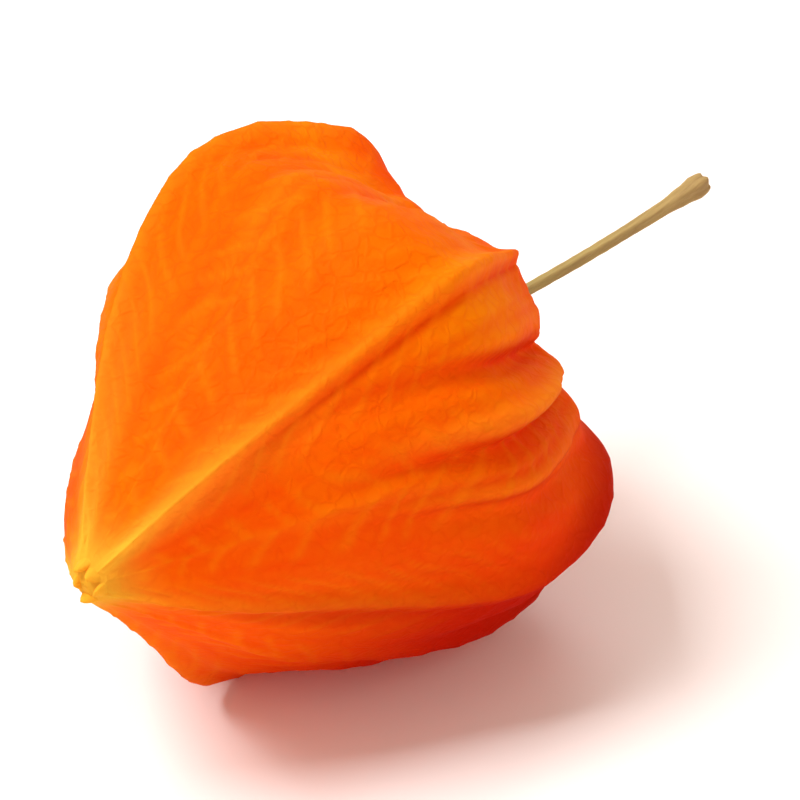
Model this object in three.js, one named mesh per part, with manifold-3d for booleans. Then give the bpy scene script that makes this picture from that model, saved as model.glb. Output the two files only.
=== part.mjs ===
import * as THREE from 'three';
import { mergeVertices } from 'three/addons/utils/BufferGeometryUtils.js';
import Module from 'manifold-3d';

const wasm = await Module();
wasm.setup();

// Frame: millimetres, +Z up, origin under the middle of the bounding box, on the surface it lies on.
// The tip points to -Y and the stalk to +Y. The husk lies on one of its five ribs.

// Outline of a rib and of the middle of a panel between two ribs, base centre to tip:
// distance along the length from the base plane, then radius.
const RIB_OUTLINE = [
  [6.6, 0], [6.1, 1.6], [4.2, 4.6], [1.9, 8.4], [0.5, 12.6], [1.2, 17.0], [5.2, 21.0], [11.5, 23.0],
  [19, 22.8], [26.5, 20.4], [33.5, 16.4], [39.5, 11.6], [44.0, 7.4], [47.2, 3.8], [49.0, 1.7], [49.6, 0],
];
const PANEL_OUTLINE = [
  [6.6, 0], [6.1, 1.5], [4.4, 4.4], [2.4, 8.0], [1.5, 12.0], [2.4, 16.2], [5.9, 19.6], [11.8, 21.4],
  [18.9, 21.2], [26.3, 18.6], [33.3, 14.4], [39.4, 9.8], [43.9, 6.0], [47.1, 3.2], [49.0, 1.6], [49.6, 0],
];

// The ribs, in degrees from straight up towards +X. Panel k lies between rib k and the next one.
const RIB_ANGLES = [-34.8, 34.0, 108.1, 181.6, 247.2];
const RIBS = RIB_ANGLES.length;

// Grown unevenly: radius factors of each rib and panel at five stations of the outlines,
// and how far each one's shoulder is shifted towards the tip.
const STATIONS = [1, 4, 6, 8, 10, 12, 15];
const RIB_FACTORS = [
  [1.07, 0.97, 1.05, 1.05, 1.01],
  [0.76, 0.74, 0.99, 0.91, 1.22],
  [1.01, 1.00, 1.01, 0.86, 0.94],
  [1.01, 0.88, 0.95, 1.14, 0.90],
  [0.96, 1.00, 0.92, 0.87, 0.92],
];
const PANEL_FACTORS = [
  [0.72, 0.69, 1.05, 1.04, 0.97],
  [0.79, 0.76, 0.97, 0.99, 0.95],
  [0.98, 1.06, 1.01, 1.05, 0.97],
  [0.94, 0.95, 1.02, 1.03, 0.95],
  [0.99, 0.99, 0.98, 0.85, 1.11],
];
const RIB_SHIFT = [-0.6, 0.5, -0.2, 0.2, 0.1];
const PANEL_SHIFT = [0.6, 1.0, -0.1, -0.2, -0.1];
const SHIFT_WEIGHTS = [0, 0, 0.3, 0.7, 1, 1, 0.7, 0.3, 0.1, 0, 0, 0, 0, 0, 0, 0];

// Narrow keel on each rib, with a hollow just beside it.
const KEEL_HEIGHT = 0.5;
const KEEL_WIDTH = 0.035;
const KEEL_HOLLOW = 0.2;
const HOLLOW_OFFSET = 0.09;
const HOLLOW_WIDTH = 0.04;

// Folds gathered at the base: panel, place across it at the base edge and at the fold's end (0 to 1),
// place along the outline where it ends, height (below 0 for a groove), width.
const FOLDS = [
  [0, 0.22, 0.30, 0.56, -0.4, 0.06], [0, 0.36, 0.42, 0.62, 0.4, 0.07], [0, 0.52, 0.52, 0.66, -0.4, 0.06],
  [0, 0.74, 0.66, 0.58, 0.4, 0.07],
  [1, 0.28, 0.14, 0.52, 0.6, 0.07], [1, 0.46, 0.12, 0.66, -1.5, 0.05], [1, 0.59, 0.37, 0.62, 1.5, 0.045],
  [1, 0.685, 0.44, 0.64, -1.6, 0.045], [1, 0.80, 0.54, 0.64, 0.8, 0.06], [1, 0.91, 0.63, 0.66, -0.9, 0.045],
  [2, 0.24, 0.30, 0.58, -1.1, 0.055], [2, 0.38, 0.42, 0.62, 1.1, 0.055], [2, 0.52, 0.50, 0.68, -1.2, 0.055],
  [2, 0.68, 0.62, 0.60, 1.0, 0.055],
  [3, 0.22, 0.28, 0.56, -1.0, 0.055], [3, 0.42, 0.46, 0.66, 1.1, 0.055], [3, 0.56, 0.56, 0.62, -1.2, 0.055],
  [3, 0.78, 0.70, 0.58, 0.8, 0.055],
  [4, 0.26, 0.34, 0.60, -1.2, 0.055], [4, 0.44, 0.46, 0.66, 1.2, 0.055], [4, 0.60, 0.56, 0.62, -1.2, 0.055],
  [4, 0.78, 0.70, 0.56, 0.8, 0.055],
];
const FOLD_RIM = 0.36;
// Share of its run over which a fold keeps its full height, and its share of height on the base edge.
const FOLD_HOLD = 0.35;
const RIM_SHARE = 0.4;

// Small secondary rib down the middle of each panel.
const MID_RIB_HEIGHTS = [0.12, 0.2, 0.35, 0.3, 0.12];
const MID_RIB_WIDTH = 0.04;

// The relief stands at its full height from this radius outwards.
const FULL_RELIEF_RADIUS = 14;

// Pointed teeth that end the ribs at the tip.
const TOOTH_LENGTH = 3.9;
const TOOTH_RADIUS = 1.6;
const TOOTH_TAPER = 0.65;
const TOOTH_FLATNESS = 0.5;
const TOOTH_CURL = [0.5, 0.2, 0.4, 0.7, 0.1];
const TOOTH_START = 46.2;
const TOOTH_RING = 1.3;

// Stalk: [distance from its root, radius], how its end droops and sways, how its middle sags,
// and its gap to the husk.
const STALK_OUTLINE = [
  [0, 0], [0, 0.6], [0.5, 0.9], [1.4, 0.86], [3.2, 0.68], [6, 0.58], [13, 0.52], [21, 0.52], [29, 0.55],
  [33.5, 0.63], [35.8, 0.84], [37.2, 1.0], [38.2, 0.92], [38.5, 0.8], [38.3, 0],
];
const STALK_DROOP = 1.8;
const STALK_SAG = 4.6;
const STALK_SWAY = 2.2;
const STALK_GROOVES = 5;
const STALK_GROOVE_DEPTH = 0.07;
const STALK_GAP = 0.3;

// Lying pose and the small flat spot the husk rests on.
const PITCH = -2.9;
const FLAT_DEPTH = 1.2;

// Mesh density: columns on each panel, with more where the narrow folds run aslant, how far
// the columns in its middle lean with those folds, and where along the outline the lean is full.
const PANEL_COLUMNS = [16, 34, 16, 16, 16];
const COLUMN_LEAN = [0, -0.22, 0, 0, 0];
const LEAN_REACH = 0.66;
const ROWS = 46;
const STALK_SIDES = 15;

const radians = (degrees) => degrees * Math.PI / 180;
const mix = (a, b, t) => a + (b - a) * t;
const bump = (distance, width) => Math.exp(-((distance / width) ** 2));
const ease = (low, high, value) => THREE.MathUtils.smoothstep(value, low, high);

function factorAt(row, index) {
  const factors = [1, ...row, 1];
  if (index <= STATIONS[0]) return 1;
  const next = STATIONS.findIndex((station) => station >= index);
  const t = (index - STATIONS[next - 1]) / (STATIONS[next] - STATIONS[next - 1]);
  return mix(factors[next - 1], factors[next], t);
}

function outlineCurve(outline, factors, shift) {
  return new THREE.SplineCurve(outline.map(([along, radius], index) => new THREE.Vector2(
    along + shift * SHIFT_WEIGHTS[index],
    radius * factorAt(factors, index),
  )));
}

const ribCurves = RIB_FACTORS.map((row, k) => outlineCurve(RIB_OUTLINE, row, RIB_SHIFT[k]));
const panelCurves = PANEL_FACTORS.map((row, k) => outlineCurve(PANEL_OUTLINE, row, PANEL_SHIFT[k]));

// 0 on a rib and 1 in mid-panel, rising as a straight chord between two ribs does.
function chordWeight(across) {
  const half = Math.PI / RIBS;
  const fromRib = 1 - Math.abs(2 * across - 1);
  return (1 - Math.cos(half) / Math.cos(half * (1 - fromRib))) / (1 - Math.cos(half));
}

function outlinePoint(panel, across, along) {
  const rib = ribCurves[across < 0.5 ? panel : (panel + 1) % RIBS];
  return rib.getPoint(along).lerp(panelCurves[panel].getPoint(along), chordWeight(across));
}

// Height of keels, secondary ribs and folds over the plain surface.
function relief(panel, across, along) {
  const beside = Math.min(across, 1 - across);
  const body = ease(0.22, 0.44, along) * (1 - ease(0.86, 0.97, along));
  let height = KEEL_HEIGHT * body * bump(beside, KEEL_WIDTH);
  height -= KEEL_HOLLOW * body * bump(beside - HOLLOW_OFFSET, HOLLOW_WIDTH);
  height += MID_RIB_HEIGHTS[panel] * body * bump(across - 0.5, MID_RIB_WIDTH);
  for (const [where, start, end, reach, size, width] of FOLDS) {
    if (where !== panel) continue;
    const centre = mix(start, end, THREE.MathUtils.clamp((along - FOLD_RIM) / (reach - FOLD_RIM), 0, 1));
    const held = mix(FOLD_RIM, reach, FOLD_HOLD);
    const onRim = mix(RIM_SHARE, 1, ease(0.30, 0.43, along));
    const fade = ease(0.06, 0.24, along) * (1 - ease(held, reach + 0.05, along));
    height += size * onRim * fade * bump(across - centre, width);
  }
  return height;
}

function huskPoint(panel, across, along, target) {
  const point = outlinePoint(panel, across, along);
  const before = outlinePoint(panel, across, Math.max(along - 0.004, 0));
  const after = outlinePoint(panel, across, Math.min(along + 0.004, 1));
  const step = after.sub(before).normalize();
  const height = relief(panel, across, along) * Math.min(1, point.y / FULL_RELIEF_RADIUS);
  const length = point.x - step.y * height;
  const radius = Math.max(point.y + step.x * height, 0);
  const last = panel === RIBS - 1 ? RIB_ANGLES[0] + 360 : RIB_ANGLES[panel + 1];
  const angle = radians(mix(RIB_ANGLES[panel], last, across));
  return target.set(radius * Math.sin(angle), -length, radius * Math.cos(angle));
}

// Merge the seams and drop the triangles that have closed up at a pole.
function weld(geometry) {
  geometry.deleteAttribute('normal');
  geometry.deleteAttribute('uv');
  const merged = mergeVertices(geometry, 1e-4);
  const source = merged.index.array;
  const kept = [];
  for (let i = 0; i < source.length; i += 3) {
    const [a, b, c] = [source[i], source[i + 1], source[i + 2]];
    if (a !== b && b !== c && c !== a) kept.push(a, b, c);
  }
  merged.setIndex(kept);
  return merged;
}

function toSolid(geometry) {
  const merged = weld(geometry);
  return new wasm.Manifold(new wasm.Mesh({
    numProp: 3,
    vertProperties: new Float32Array(merged.attributes.position.array),
    triVerts: new Uint32Array(merged.index.array),
  }));
}

function toGeometry(solid) {
  const mesh = solid.getMesh();
  const geometry = new THREE.BufferGeometry();
  geometry.setAttribute('position', new THREE.BufferAttribute(new Float32Array(mesh.vertProperties), 3));
  geometry.setIndex(Array.from(mesh.triVerts));
  geometry.computeVertexNormals();
  return geometry;
}

// The panel that a column lies on, and its place across it.
function placeOfColumn(column) {
  let panel = 0;
  let rest = column;
  while (rest >= PANEL_COLUMNS[panel]) {
    rest -= PANEL_COLUMNS[panel];
    panel += 1;
  }
  return [panel, rest / PANEL_COLUMNS[panel]];
}

// The husk's surface at a row and column of its mesh.
function gridPoint(row, column) {
  const [panel, plain] = placeOfColumn(column);
  const along = row / ROWS;
  const lean = COLUMN_LEAN[panel] * 4 * plain * (1 - plain) * ease(FOLD_RIM, LEAN_REACH, along);
  return huskPoint(panel, plain + lean, along, new THREE.Vector3());
}

// A sphere whose rows run from the base centre to the tip, moved onto the husk's surface.
function huskBody() {
  const columns = PANEL_COLUMNS.reduce((sum, count) => sum + count, 0);
  const geometry = new THREE.SphereGeometry(1, columns, ROWS);
  const position = geometry.attributes.position;
  for (let i = 0; i < position.count; i += 1) {
    const point = gridPoint(Math.floor(i / (columns + 1)), i % (columns + 1) % columns);
    position.setXYZ(i, point.x, point.y, point.z);
  }
  geometry.setIndex(splitCells(position, columns));
  return geometry;
}

// Split each cell of the grid along the diagonal that lies closer to the surface.
function splitCells(position, columns) {
  const index = [];
  const at = (i) => new THREE.Vector3().fromBufferAttribute(position, i);
  for (let row = 0; row < ROWS; row += 1) {
    for (let column = 0; column < columns; column += 1) {
      const a = row * (columns + 1) + column;
      const [b, c, d] = [a + 1, a + columns + 1, a + columns + 2];
      const centre = gridPoint(row + 0.5, column + 0.5);
      const falling = at(a).add(at(d)).divideScalar(2).distanceTo(centre);
      const rising = at(b).add(at(c)).divideScalar(2).distanceTo(centre);
      if (falling < rising || row === 0 || row === ROWS - 1) index.push(b, a, d, a, c, d);
      else index.push(b, a, c, b, c, d);
    }
  }
  return index;
}

function tooth(index) {
  const geometry = new THREE.ConeGeometry(TOOTH_RADIUS, TOOTH_LENGTH, 8, 4);
  geometry.translate(0, TOOTH_LENGTH / 2, 0);
  const position = geometry.attributes.position;
  for (let i = 0; i < position.count; i += 1) {
    const t = position.getY(i) / TOOTH_LENGTH;
    const swell = Math.max(1 - t, 0.01) ** (TOOTH_TAPER - 1);
    const curl = TOOTH_CURL[index] * t ** 2;
    position.setX(i, position.getX(i) * swell);
    position.setZ(i, position.getZ(i) * swell * TOOTH_FLATNESS - curl);
  }
  geometry.rotateX(Math.PI);
  geometry.translate(0, -TOOTH_START, TOOTH_RING);
  geometry.rotateY(radians(RIB_ANGLES[index]));
  return geometry;
}

function stalkBody() {
  const profile = STALK_OUTLINE.map(([along, radius]) => new THREE.Vector2(radius, along));
  const geometry = new THREE.LatheGeometry(profile, STALK_SIDES);
  const position = geometry.attributes.position;
  const length = STALK_OUTLINE.at(-2)[0];
  for (let i = 0; i < position.count; i += 1) {
    const [x, y, z] = [position.getX(i), position.getY(i), position.getZ(i)];
    const groove = 1 + STALK_GROOVE_DEPTH * Math.cos(STALK_GROOVES * Math.atan2(z, x));
    const t = y / length;
    const drop = STALK_DROOP * t ** 2 + STALK_SAG * t * (1 - t);
    position.setXYZ(i, x * groove + STALK_SWAY * t, y, z * groove - drop);
  }
  geometry.translate(0, STALK_GAP - RIB_OUTLINE[0][0], 0);
  return geometry;
}

// Put the pieces together in the lying pose.
const bodyGeometry = huskBody().rotateX(radians(PITCH));
let husk = toSolid(bodyGeometry);
for (let k = 0; k < RIBS; k += 1) {
  husk = husk.add(toSolid(tooth(k).rotateX(radians(PITCH))));
}
const stalk = toSolid(stalkBody().rotateX(radians(PITCH)));

const floor = husk.boundingBox().min[2] + FLAT_DEPTH;
const below = new THREE.BoxGeometry(100, 100, 10);
below.translate(0, 0, floor - 5);
husk = husk.subtract(toSolid(below));

const group = new THREE.Group();
group.name = 'physalis_berry';
const pieces = [
  ['husk', husk, 0xf26a0a, 0.62],
  ['stalk', stalk, 0xb49a63, 0.8],
];
for (const [name, solid, color, roughness] of pieces) {
  const mesh = new THREE.Mesh(toGeometry(solid), new THREE.MeshStandardMaterial({ color, roughness }));
  mesh.name = name;
  group.add(mesh);
}

// Move the whole to its frame: middle of the box over the origin, resting on z = 0.
const box = new THREE.Box3().setFromObject(group);
const middle = box.getCenter(new THREE.Vector3());
for (const mesh of group.children) {
  mesh.geometry.translate(-middle.x, -middle.y, -floor);
}

export default group;
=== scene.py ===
# %% [markdown]
# # A physalis fruit in its papery lantern
# The object is one ripe fruit of a Chinese lantern plant, as picked: a thin dry husk with
# five ribs, folded in at the base and ending in small teeth, and the short stalk it hung by.
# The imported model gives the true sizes. Everything here is laid over it in the same frame,
# in metres, with +Z up, the tip towards -Y and the stalk towards +Y.

# %% Load the frame
import math
import random
import bpy
import numpy as np
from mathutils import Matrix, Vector, noise


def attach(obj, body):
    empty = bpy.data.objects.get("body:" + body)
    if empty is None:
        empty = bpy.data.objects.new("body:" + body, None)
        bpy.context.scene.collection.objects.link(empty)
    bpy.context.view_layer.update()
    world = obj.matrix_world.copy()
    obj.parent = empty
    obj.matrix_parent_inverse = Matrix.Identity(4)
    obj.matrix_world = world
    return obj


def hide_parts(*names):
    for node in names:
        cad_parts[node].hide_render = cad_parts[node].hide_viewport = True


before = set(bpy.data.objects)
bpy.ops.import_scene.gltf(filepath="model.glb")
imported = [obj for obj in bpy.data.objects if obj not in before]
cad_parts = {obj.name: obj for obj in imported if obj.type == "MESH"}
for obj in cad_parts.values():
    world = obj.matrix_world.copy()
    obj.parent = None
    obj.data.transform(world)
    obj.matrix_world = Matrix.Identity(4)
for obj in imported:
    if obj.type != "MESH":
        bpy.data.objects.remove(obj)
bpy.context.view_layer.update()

MM = 0.001
scene = bpy.context.scene
print("packed nodes:", sorted(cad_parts))

# %% [markdown]
# ## Camera
# The fruit is seen from above its tip, a little to the right of it. A long lens keeps
# near and far ribs in proportion, as they are from across a table. The camera is aimed by
# direction, so its place follows from the side it looks from and its distance.

# %% Camera
VIEW_AZIMUTH = 37.4
VIEW_ELEVATION = 37.0
VIEW_DISTANCE = 1.0
VIEW_LENS = 540
VIEW_TARGET = Vector((-0.0005, 0.0015, 0.0160))


def direction_from(azimuth, elevation):
    """Unit vector from the object to a viewer: azimuth 0 stands at -Y, 90 at +X."""
    turn, lift = math.radians(azimuth), math.radians(elevation)
    return Vector((math.sin(turn) * math.cos(lift), -math.cos(turn) * math.cos(lift), math.sin(lift)))


camera_data = bpy.data.cameras.new("camera")
camera_data.lens = VIEW_LENS
camera_data.clip_start = 0.01
camera = bpy.data.objects.new("camera", camera_data)
towards_camera = direction_from(VIEW_AZIMUTH, VIEW_ELEVATION)
camera.location = VIEW_TARGET + VIEW_DISTANCE * towards_camera
camera.rotation_euler = (-towards_camera).to_track_quat("-Z", "Y").to_euler()
scene.collection.objects.link(camera)
scene.camera = camera
print("camera at", [round(v, 3) for v in camera.location])

# %% [markdown]
# ## Table and light
# The fruit lies on a plain white table in bright, soft daylight. A wide window-like panel
# from above gives the ribs their light and shade. The shadows on and beside papery orange fruit are
# never grey, because the paper throws its own colour back. A warm sky and a low warm panel stand in
# for that light. A white sky is simpler, but it leaves the shaded side dull. Behind the table the
# view is plain white: the sky shader shows white to the eye and gives its warm light to the rest.

# %% Table
TABLE_RADIUS = 0.42
TABLE_SIDES = 96
TABLE_WHITE = (0.93, 0.925, 0.92, 1)
TABLE_ROUGHNESS = 0.7
TABLE_GLOSS = 0.2

turns = [2 * math.pi * i / TABLE_SIDES for i in range(TABLE_SIDES)]
table_rim = [(TABLE_RADIUS * math.cos(turn), TABLE_RADIUS * math.sin(turn), 0) for turn in turns]
table_mesh = bpy.data.meshes.new("table")
table_mesh.from_pydata(table_rim, [], [list(range(TABLE_SIDES))])
table = bpy.data.objects.new("table", table_mesh)
scene.collection.objects.link(table)

table_paint = bpy.data.materials.new("white table")
table_paint.use_nodes = True
table_shader = table_paint.node_tree.nodes["Principled BSDF"]
table_shader.inputs["Base Color"].default_value = TABLE_WHITE
table_shader.inputs["Roughness"].default_value = TABLE_ROUGHNESS
table_shader.inputs["Specular IOR Level"].default_value = TABLE_GLOSS
table_mesh.materials.append(table_paint)
print("table:", 2 * TABLE_RADIUS, "m wide")

# %% Sky
SKY_STRENGTH = 0.67
SKY_COLOUR = (1.0, 0.76, 0.64, 1)
WHITE = (1, 1, 1, 1)

world = bpy.data.worlds.new("warm sky")
world.use_nodes = True
sky = world.node_tree
warm_sky = sky.nodes["Background"]
warm_sky.inputs["Color"].default_value = SKY_COLOUR
warm_sky.inputs["Strength"].default_value = SKY_STRENGTH
white_wall = sky.nodes.new("ShaderNodeBackground")
white_wall.inputs["Color"].default_value = WHITE
ray = sky.nodes.new("ShaderNodeLightPath")
seen_or_felt = sky.nodes.new("ShaderNodeMixShader")
sky.links.new(ray.outputs["Is Camera Ray"], seen_or_felt.inputs["Fac"])
sky.links.new(warm_sky.outputs["Background"], seen_or_felt.inputs[1])
sky.links.new(white_wall.outputs["Background"], seen_or_felt.inputs[2])
sky.links.new(seen_or_felt.outputs["Shader"], sky.nodes["World Output"].inputs["Surface"])
scene.world = world
print("sky:", world.name, "at", SKY_STRENGTH)

# %% Soft panels
# name, azimuth, elevation, distance and width in metres, power in watts, colour
SOFT_PANELS = [
    ("window panel", -46, 58, 1.0, 0.45, 10.4, (1, 1, 1)),
    ("back panel", 215, 50, 1.2, 0.6, 2.6, (1, 1, 1)),
    ("warm fill", 115, 32, 1.2, 0.8, 1.2, (1.0, 0.72, 0.58)),
]


def soft_panel(name, azimuth, elevation, distance, width, power, colour):
    """Add a square area light that looks at the fruit."""
    light = bpy.data.lights.new(name, "AREA")
    light.size = width
    light.energy = power
    light.color = colour
    panel = bpy.data.objects.new(name, light)
    side = direction_from(azimuth, elevation)
    panel.location = VIEW_TARGET + distance * side
    panel.rotation_euler = (-side).to_track_quat("-Z", "Y").to_euler()
    scene.collection.objects.link(panel)


for panel_row in SOFT_PANELS:
    soft_panel(*panel_row)
scene.view_settings.view_transform = "Standard"
scene.view_settings.look = "None"

# %% [markdown]
# ## The husk's plan
# A physalis husk is a leafy cup that has grown shut round the berry. Five main ribs run from the stalk
# to the tip, and between each two of them lies a slack panel. Two curves hold that plan: the
# outline of a rib and the outline of the middle of a panel. Each is a list of points, distance
# along the fruit and then radius, in millimetres. It could also be sculpted from a ball, but
# with curves the picture and the solid part stay the same shape.

# %% Outlines of rib and panel
RIB_OUTLINE = [
    (6.6, 0), (6.1, 1.6), (4.2, 4.6), (1.9, 8.4), (0.5, 12.6), (1.2, 17.0), (5.2, 21.0), (11.5, 23.0),
    (19, 22.8), (26.5, 20.4), (33.5, 16.4), (39.5, 11.6), (44.0, 7.4), (47.2, 3.8), (49.0, 1.7), (49.6, 0),
]
PANEL_OUTLINE = [
    (6.6, 0), (6.1, 1.5), (4.4, 4.4), (2.4, 8.0), (1.5, 12.0), (2.4, 16.2), (5.9, 19.6), (11.8, 21.4),
    (18.9, 21.2), (26.3, 18.6), (33.3, 14.4), (39.4, 9.8), (43.9, 6.0), (47.1, 3.2), (49.0, 1.6), (49.6, 0),
]
RIB_ANGLES = [-34.8, 34.0, 108.1, 181.6, 247.2]
RIBS = len(RIB_ANGLES)

# %% [markdown]
# No husk grows evenly. These factors stretch or pinch each rib and panel at five stations
# between base and tip, and the shifts push its shoulder back or forth. The rib that
# faces the viewer has a weak shoulder, and the lowest one bulges near the tip where it sags.

# %% Uneven growth
STATIONS = [1, 4, 6, 8, 10, 12, 15]
RIB_FACTORS = [
    [1.07, 0.97, 1.05, 1.05, 1.01],
    [0.76, 0.74, 0.99, 0.91, 1.22],
    [1.01, 1.00, 1.01, 0.86, 0.94],
    [1.01, 0.88, 0.95, 1.14, 0.90],
    [0.96, 1.00, 0.92, 0.87, 0.92],
]
PANEL_FACTORS = [
    [0.72, 0.69, 1.05, 1.04, 0.97],
    [0.79, 0.76, 0.97, 0.99, 0.95],
    [0.98, 1.06, 1.01, 1.05, 0.97],
    [0.94, 0.95, 1.02, 1.03, 0.95],
    [0.99, 0.99, 0.98, 0.85, 1.11],
]
RIB_SHIFT = [-0.6, 0.5, -0.2, 0.2, 0.1]
PANEL_SHIFT = [0.6, 1.0, -0.1, -0.2, -0.1]
SHIFT_WEIGHTS = np.array([0, 0, 0.3, 0.7, 1, 1, 0.7, 0.3, 0.1, 0, 0, 0, 0, 0, 0, 0])


def grown(outline, factors, shift):
    """One outline with its own factors and shoulder shift."""
    points = np.array(outline, float)
    points[:, 0] += shift * SHIFT_WEIGHTS
    points[:, 1] *= np.interp(np.arange(len(points)), STATIONS, [1, *factors, 1])
    return points


rib_outlines = [grown(RIB_OUTLINE, RIB_FACTORS[k], RIB_SHIFT[k]) for k in range(RIBS)]
panel_outlines = [grown(PANEL_OUTLINE, PANEL_FACTORS[k], PANEL_SHIFT[k]) for k in range(RIBS)]
print("widest radius of each rib, mm:", [round(float(p[:, 1].max()), 1) for p in rib_outlines])

# %% [markdown]
# The outlines are smoothed by a Catmull-Rom spline, which passes through every point. The
# chord weight makes the cross section: it leaves a rib at a clear angle, as a tent does at its
# pole, and flattens towards mid-panel.

# %% Smooth curves and cross section
def spline(points, place):
    """Catmull-Rom curve through the points, at places from 0 to 1."""
    last = len(points) - 1
    reach = last * np.clip(np.asarray(place, float), 0, 1)
    index = np.minimum(reach.astype(int), last - 1)
    t = (reach - index)[..., None]
    p0 = points[np.maximum(index - 1, 0)]
    p1 = points[index]
    p2 = points[index + 1]
    p3 = points[np.minimum(index + 2, last)]
    v0 = (p2 - p0) / 2
    v1 = (p3 - p1) / 2
    return (2 * p1 - 2 * p2 + v0 + v1) * t**3 + (3 * p2 - 3 * p1 - 2 * v0 - v1) * t**2 + v0 * t + p1


def chord_weight(across):
    """0 on a rib and 1 in mid-panel."""
    half = math.pi / RIBS
    from_rib = 1 - abs(2 * across - 1)
    return (1 - math.cos(half) / math.cos(half * (1 - from_rib))) / (1 - math.cos(half))


def ease(low, high, value):
    """Smooth step from 0 at low to 1 at high."""
    t = np.clip((value - low) / (high - low), 0, 1)
    return t * t * (3 - 2 * t)


def plateau(rise, fall, value):
    """0, then 1 past the rise, then 0 again past the fall; each is a pair of values."""
    return ease(*rise, value) * (1 - ease(*fall, value))


def bump(distance, width):
    """1 where the distance is 0, fading to both sides over about the width."""
    return np.exp(-((distance / width) ** 2))


# %% [markdown]
# ## Keels and folds
# Each rib carries a narrow keel, and each panel a faint rib of its own down the middle. At the
# base the papery wall is gathered like cloth: its folds start at the rim and run out over the shoulder.
# A fold is one row: panel, place across it at the rim and at its end, how far it
# reaches, height (below 0 for a groove) and width.

# %% Keels and folds
KEEL_HEIGHT = 0.5
KEEL_WIDTH = 0.035
KEEL_HOLLOW = 0.2
HOLLOW_OFFSET = 0.09
HOLLOW_WIDTH = 0.04
MID_RIB_HEIGHTS = [0.12, 0.2, 0.35, 0.3, 0.12]
MID_RIB_WIDTH = 0.04
FOLD_RIM = 0.36
FOLD_HOLD = 0.35
FOLD_PAST_REACH = 0.05
FOLD_ROOT = (0.06, 0.24)
RIM_SHARE = 0.4
RIM_TO_SHOULDER = (0.30, 0.43)
BODY_START = (0.22, 0.44)
BODY_END = (0.86, 0.97)
FULL_RELIEF_RADIUS = 14.0
FOLDS = [
    (0, 0.22, 0.30, 0.56, -0.4, 0.06), (0, 0.36, 0.42, 0.62, 0.4, 0.07),
    (0, 0.52, 0.52, 0.66, -0.4, 0.06), (0, 0.74, 0.66, 0.58, 0.4, 0.07),
    (1, 0.28, 0.14, 0.52, 0.6, 0.07), (1, 0.46, 0.12, 0.66, -1.5, 0.05),
    (1, 0.59, 0.37, 0.62, 1.5, 0.045), (1, 0.685, 0.44, 0.64, -1.6, 0.045),
    (1, 0.80, 0.54, 0.64, 0.8, 0.06), (1, 0.91, 0.63, 0.66, -0.9, 0.045),
    (2, 0.24, 0.30, 0.58, -1.1, 0.055), (2, 0.38, 0.42, 0.62, 1.1, 0.055),
    (2, 0.52, 0.50, 0.68, -1.2, 0.055), (2, 0.68, 0.62, 0.60, 1.0, 0.055),
    (3, 0.22, 0.28, 0.56, -1.0, 0.055), (3, 0.42, 0.46, 0.66, 1.1, 0.055),
    (3, 0.56, 0.56, 0.62, -1.2, 0.055), (3, 0.78, 0.70, 0.58, 0.8, 0.055),
    (4, 0.26, 0.34, 0.60, -1.2, 0.055), (4, 0.44, 0.46, 0.66, 1.2, 0.055),
    (4, 0.60, 0.56, 0.62, -1.2, 0.055), (4, 0.78, 0.70, 0.56, 0.8, 0.055),
]


def one_fold(across, along, start, end, reach, size, width):
    """Height of one fold over a column: it leans from start to end and fades out at its reach."""
    centre = start + (end - start) * np.clip((along - FOLD_RIM) / (reach - FOLD_RIM), 0, 1)
    held = FOLD_RIM + FOLD_HOLD * (reach - FOLD_RIM)
    on_rim = RIM_SHARE + (1 - RIM_SHARE) * ease(*RIM_TO_SHOULDER, along)
    fade = plateau(FOLD_ROOT, (held, reach + FOLD_PAST_REACH), along)
    return size * on_rim * fade * bump(across - centre, width)


def fold_height(panel, across, along):
    """Keel, hollow, middle rib and folds over the plain surface, in mm, for one column."""
    beside = min(across, 1 - across)
    body = plateau(BODY_START, BODY_END, along)
    height = KEEL_HEIGHT * body * bump(beside, KEEL_WIDTH)
    height -= KEEL_HOLLOW * body * bump(beside - HOLLOW_OFFSET, HOLLOW_WIDTH)
    height += MID_RIB_HEIGHTS[panel] * body * bump(across - 0.5, MID_RIB_WIDTH)
    return height + sum(one_fold(across, along, *row[1:]) for row in FOLDS if row[0] == panel)


print("folds per panel:", [sum(f[0] == k for f in FOLDS) for k in range(RIBS)])

# %% [markdown]
# Between the main folds the paper has finer creases, too fine for the solid part. Their places
# are drawn at random with a fixed seed, and each leans as its larger neighbours do, so that
# they look gathered by the same pull. A few more are listed one by one: one close below the rib that
# faces the viewer, and one in the bottom of each deep groove beside it.

# %% Fine creases
CREASES_PER_PANEL = 9
CREASE_SEED = 11
CREASE_JITTER = (0.15, 0.85)
CREASE_SIZES = (0.10, 0.26)
CREASE_SIGNS = (-1, -1, 1)
CREASE_REACHES = (0.50, 0.78)
CREASE_WIDTHS = (0.012, 0.022)
FACING_CREASES = [
    (1, 0.045, 0.045, 0.80, -0.6, 0.018), (1, 0.44, 0.11, 0.64, -0.6, 0.018),
    (1, 0.67, 0.43, 0.64, -0.65, 0.018), (1, 0.75, 0.50, 0.70, -0.4, 0.016),
    (1, 0.85, 0.58, 0.68, -0.4, 0.016),
]
draw = random.Random(CREASE_SEED)


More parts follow.
